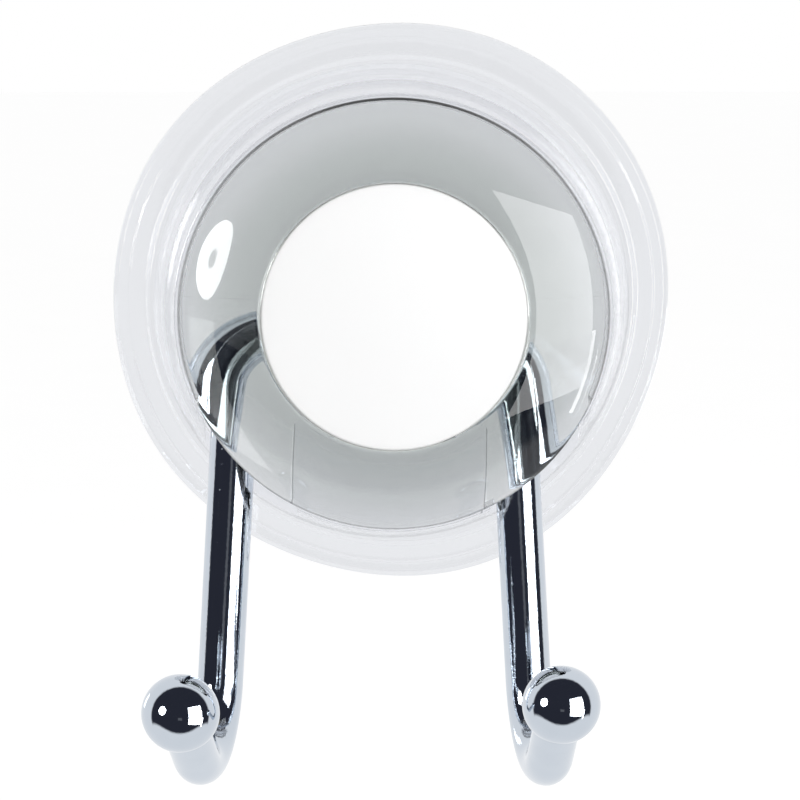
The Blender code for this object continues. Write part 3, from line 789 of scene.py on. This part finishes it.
# What shines shows the room, matt surfaces get an even light, and the camera sees white
mirrored, scattered = (start.node("ShaderNodeLightPath", {}, {}, depth_name).math("GREATER_THAN", 0.5)
                       for depth_name in ("Glossy Depth", "Diffuse Depth"))
light = scattered.between(mirrored.between((1.0, 1.0, 1.0), room), (AMBIENT, AMBIENT, AMBIENT))
glow = start.node("ShaderNodeBackground", {}, {"Color": light, "Strength": 1.0})
start.node("ShaderNodeOutputWorld", {}, {"Surface": glow})


def seen_from(azimuth, elevation):
    """The direction from the hook of what stands at these degrees, 0 being straight in front."""
    turn, rise = math.radians(azimuth), math.radians(elevation)
    return Vector((math.sin(turn) * math.cos(rise), -math.cos(turn) * math.cos(rise), math.sin(rise)))


def add_lamp(name, azimuth, elevation, width, height, brightness, shape="RECTANGLE"):
    """A lamp aimed at the hook, by the degrees that it spans and its brightness, 1 being white."""
    lamp = bpy.data.lights.new(name, "AREA")
    lamp.shape = shape
    lamp.size = 2 * LAMP_DISTANCE * math.tan(math.radians(width / 2))
    lamp.size_y = 2 * LAMP_DISTANCE * math.tan(math.radians(height / 2))
    area = lamp.size * lamp.size_y * (math.pi / 4 if shape == "ELLIPSE" else 1)
    lamp.energy = brightness * math.pi * area
    stand = new_object(name, lamp)
    away = seen_from(azimuth, elevation)
    stand.location = away * LAMP_DISTANCE
    stand.rotation_euler = (-away).to_track_quat("-Z", "Y").to_euler()
    stand.visible_camera = False
    return stand


# Azimuth, elevation, width and height in degrees, then brightness
add_lamp("softbox", 44.2, -1, 41.6, 49, 4.6)
round_lamp = add_lamp("round_lamp", -54.5, 10, 21.5, 21.5, 12.0, "ELLIPSE")
rear_strip = add_lamp("rear_strip", -135, 6, 9, 16, 1.8)
side_strip = add_lamp("side_strip", 66.6, -20, 2.8, 22, 8.0)
for lamp in (round_lamp, rear_strip, side_strip):
    lamp.visible_diffuse = False

# A shade in the round lamp's middle shows as a grey spot in its reflection
round_lamp.data.use_nodes = True
round_lamp.data.node_tree.nodes.clear()
start = Socket(round_lamp.data.node_tree)
right, up = (part - 0.5 for part in start.node("ShaderNodeNewGeometry", {}, {}, "Parametric").parts()[:2])
lit = (right * right + up * up).math("SQRT").ramp(0.08, 0.15) * 0.85 + 0.15
ray = start.node("ShaderNodeEmission", {}, {"Color": (1.0, 1.0, 1.0, 1.0), "Strength": lit})
start.node("ShaderNodeOutputLight", {}, {"Surface": ray})

# The floor is matt, and lit up where the camera sees it, so that it is as white as the backdrop
FLOOR_HALF, FLOOR_LEVEL, FLOOR_GLOW = 3, -0.12, 0.39
floor_mesh = bpy.data.meshes.new("floor")
floor_mesh.from_pydata([(x * FLOOR_HALF, y * FLOOR_HALF, FLOOR_LEVEL)
                        for x, y in ((-1, -1), (1, -1), (1, 1), (-1, 1))], [], [(0, 1, 2, 3)])
pale, place = new_finish("pale_floor")
shown = place.node("ShaderNodeLightPath", {}, {}, "Is Camera Ray").math(
    "MAXIMUM", place.node("ShaderNodeLightPath", {}, {}, "Is Transmission Ray"))
matt = place.node("ShaderNodeBsdfDiffuse", {}, {
    "Color": place.noise(40.0, 3.0).between((0.80, 0.80, 0.80), (0.82, 0.82, 0.82))})
white = place.node("ShaderNodeEmission", {}, {"Color": (1.0, 1.0, 1.0, 1.0), "Strength": FLOOR_GLOW})
both = place.node("ShaderNodeAddShader", {}, {0: matt, 1: white})
mixed = place.node("ShaderNodeMixShader", {}, {0: shown, 1: matt, 2: both})
place.node("ShaderNodeOutputMaterial", {}, {"Surface": mixed})
floor_mesh.materials.append(pale)
floor = new_object("floor", floor_mesh)
floor.visible_glossy = False

# The camera stands a little above the axis and to its left, and sees the object as the photograph does
CAMERA_TARGET = Vector((0.000931, -0.0150, -0.011934))
CAMERA_DISTANCE, CAMERA_ELEVATION, CAMERA_AZIMUTH = 0.700, 6.106, -1.059
SENSOR_WIDTH, FOCAL_LENGTH = 36.0, 241.08
camera_data = bpy.data.cameras.new("camera")
camera_data.sensor_width, camera_data.lens = SENSOR_WIDTH, FOCAL_LENGTH
camera = new_object("camera", camera_data)
toward = seen_from(CAMERA_AZIMUTH, CAMERA_ELEVATION)
camera.location = CAMERA_TARGET + toward * CAMERA_DISTANCE
camera.rotation_euler = (-toward).to_track_quat("-Z", "Y").to_euler()
bpy.context.scene.camera = camera
bpy.context.scene.view_settings.view_transform = "Standard"
